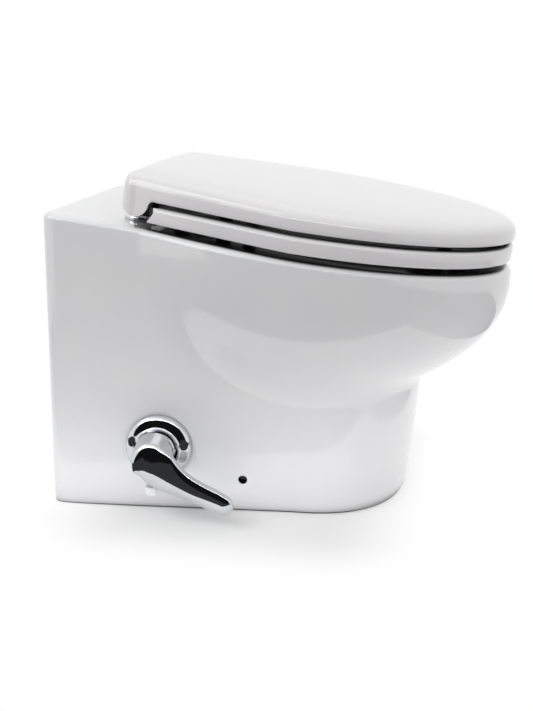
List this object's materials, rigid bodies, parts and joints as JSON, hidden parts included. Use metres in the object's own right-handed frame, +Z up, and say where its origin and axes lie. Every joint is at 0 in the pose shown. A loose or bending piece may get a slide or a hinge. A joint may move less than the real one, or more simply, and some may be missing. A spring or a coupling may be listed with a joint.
{
  "type": "electric marine toilet",
  "caption": "Compact glazed toilet bowl with a sloping rim, hinged seat and lid, a single-lever mixer on its side and an electric macerator pump inside its rear shroud.",
  "frame": {"origin": "on the floor under the middle of the whole part's box", "axes": "+X towards the front of the bowl, +Z up; the mixer is on the -Y side"},
  "size_m": [0.4983, 0.3847, 0.3697],
  "materials": {
    "china": "gloss",
    "seat_plastic": "gloss",
    "chrome": "polished",
    "steel": "satin",
    "brass": "satin",
    "rubber": "matte",
    "buffer_rubber": "matte",
    "black_plastic": "matte",
    "grey_plastic": "matte",
    "white_plastic": "matte",
    "motor_paint": "satin",
    "armature_steel": "satin"
  },
  "bodies": {
    "root": {"ceramic_body": "china", "hinge_post_near": "chrome", "hinge_post_far": "chrome", "hinge_pin_near": "steel", "hinge_pin_far": "steel", "lid_damper_near": "black_plastic", "lid_damper_far": "black_plastic", "hinge_washer_near": "rubber", "hinge_washer_far": "rubber", "hinge_nut_near": "white_plastic", "hinge_nut_far": "white_plastic", "mixer_escutcheon": "chrome", "mixer_sleeve": "chrome", "mixer_valve_body": "brass", "mixer_cartridge": "grey_plastic", "bowl_outlet_sleeve": "rubber", "macerator_cover": "black_plastic", "pump_housing": "black_plastic", "shaft_seal": "rubber", "front_bearing": "steel", "rear_bearing": "steel", "motor_can": "motor_paint", "motor_end_cap": "motor_paint", "pump_bracket": "steel", "discharge_riser": "black_plastic", "discharge_elbow": "black_plastic", "joker_valve": "rubber", "discharge_tail": "black_plastic", "bidet_nozzle": "chrome", "bidet_nozzle_nut": "brass", "bidet_hose": "rubber", "rinse_nozzle": "white_plastic", "rinse_nozzle_nut": "white_plastic", "solenoid_valve": "white_plastic", "solenoid_coil": "black_plastic", "control_box": "grey_plastic", "control_box_cover": "grey_plastic", "cable_gland": "black_plastic", "floor_bracket_near": "steel", "floor_bracket_far": "steel"},
    "seat": {"seat_ring": "seat_plastic", "seat_buffer_1": "buffer_rubber", "seat_buffer_2": "buffer_rubber", "seat_buffer_3": "buffer_rubber", "seat_buffer_4": "buffer_rubber"},
    "lid": {"lid": "seat_plastic", "lid_buffer_1": "buffer_rubber", "lid_buffer_2": "buffer_rubber", "lid_buffer_3": "buffer_rubber", "lid_buffer_4": "buffer_rubber"},
    "turret": {"cartridge_turret": "white_plastic", "lever_pivot_pin": "steel"},
    "lever": {"mixer_lever": "chrome", "lever_stem": "steel", "lever_index_plug": "white_plastic"},
    "rotor": {"motor_shaft": "steel", "armature": "armature_steel", "chopper_blade": "steel", "impeller": "grey_plastic"}
  },
  "joints": [
    {"name": "seat_hinge", "type": "hinge", "parent": "root", "child": "seat", "pos_m": [-0.14545, 0.004, 0.33458], "axis": [0, -1, 0], "range_deg": [0, 97]},
    {"name": "lid_hinge", "type": "hinge", "parent": "seat", "child": "lid", "pos_m": [-0.14545, 0.004, 0.33458], "axis": [0, 1, 0], "range_deg": [-105, 0]},
    {"name": "lever_swivel", "type": "hinge", "parent": "root", "child": "turret", "pos_m": [-0.11912, -0.16079, 0.0708], "axis": [0.0784, -0.9969, 0], "range_deg": [0, 90]},
    {"name": "lever_lift", "type": "hinge", "parent": "turret", "child": "lever", "pos_m": [-0.11912, -0.16079, 0.0708], "axis": [-0.5135, -0.0404, -0.8572], "range_deg": [0, 18]},
    {"name": "rotor_spin", "type": "hinge", "parent": "root", "child": "rotor", "pos_m": [-0.15, 0.004, 0.066], "axis": [1, 0, 0], "continuous": true}
  ]
}
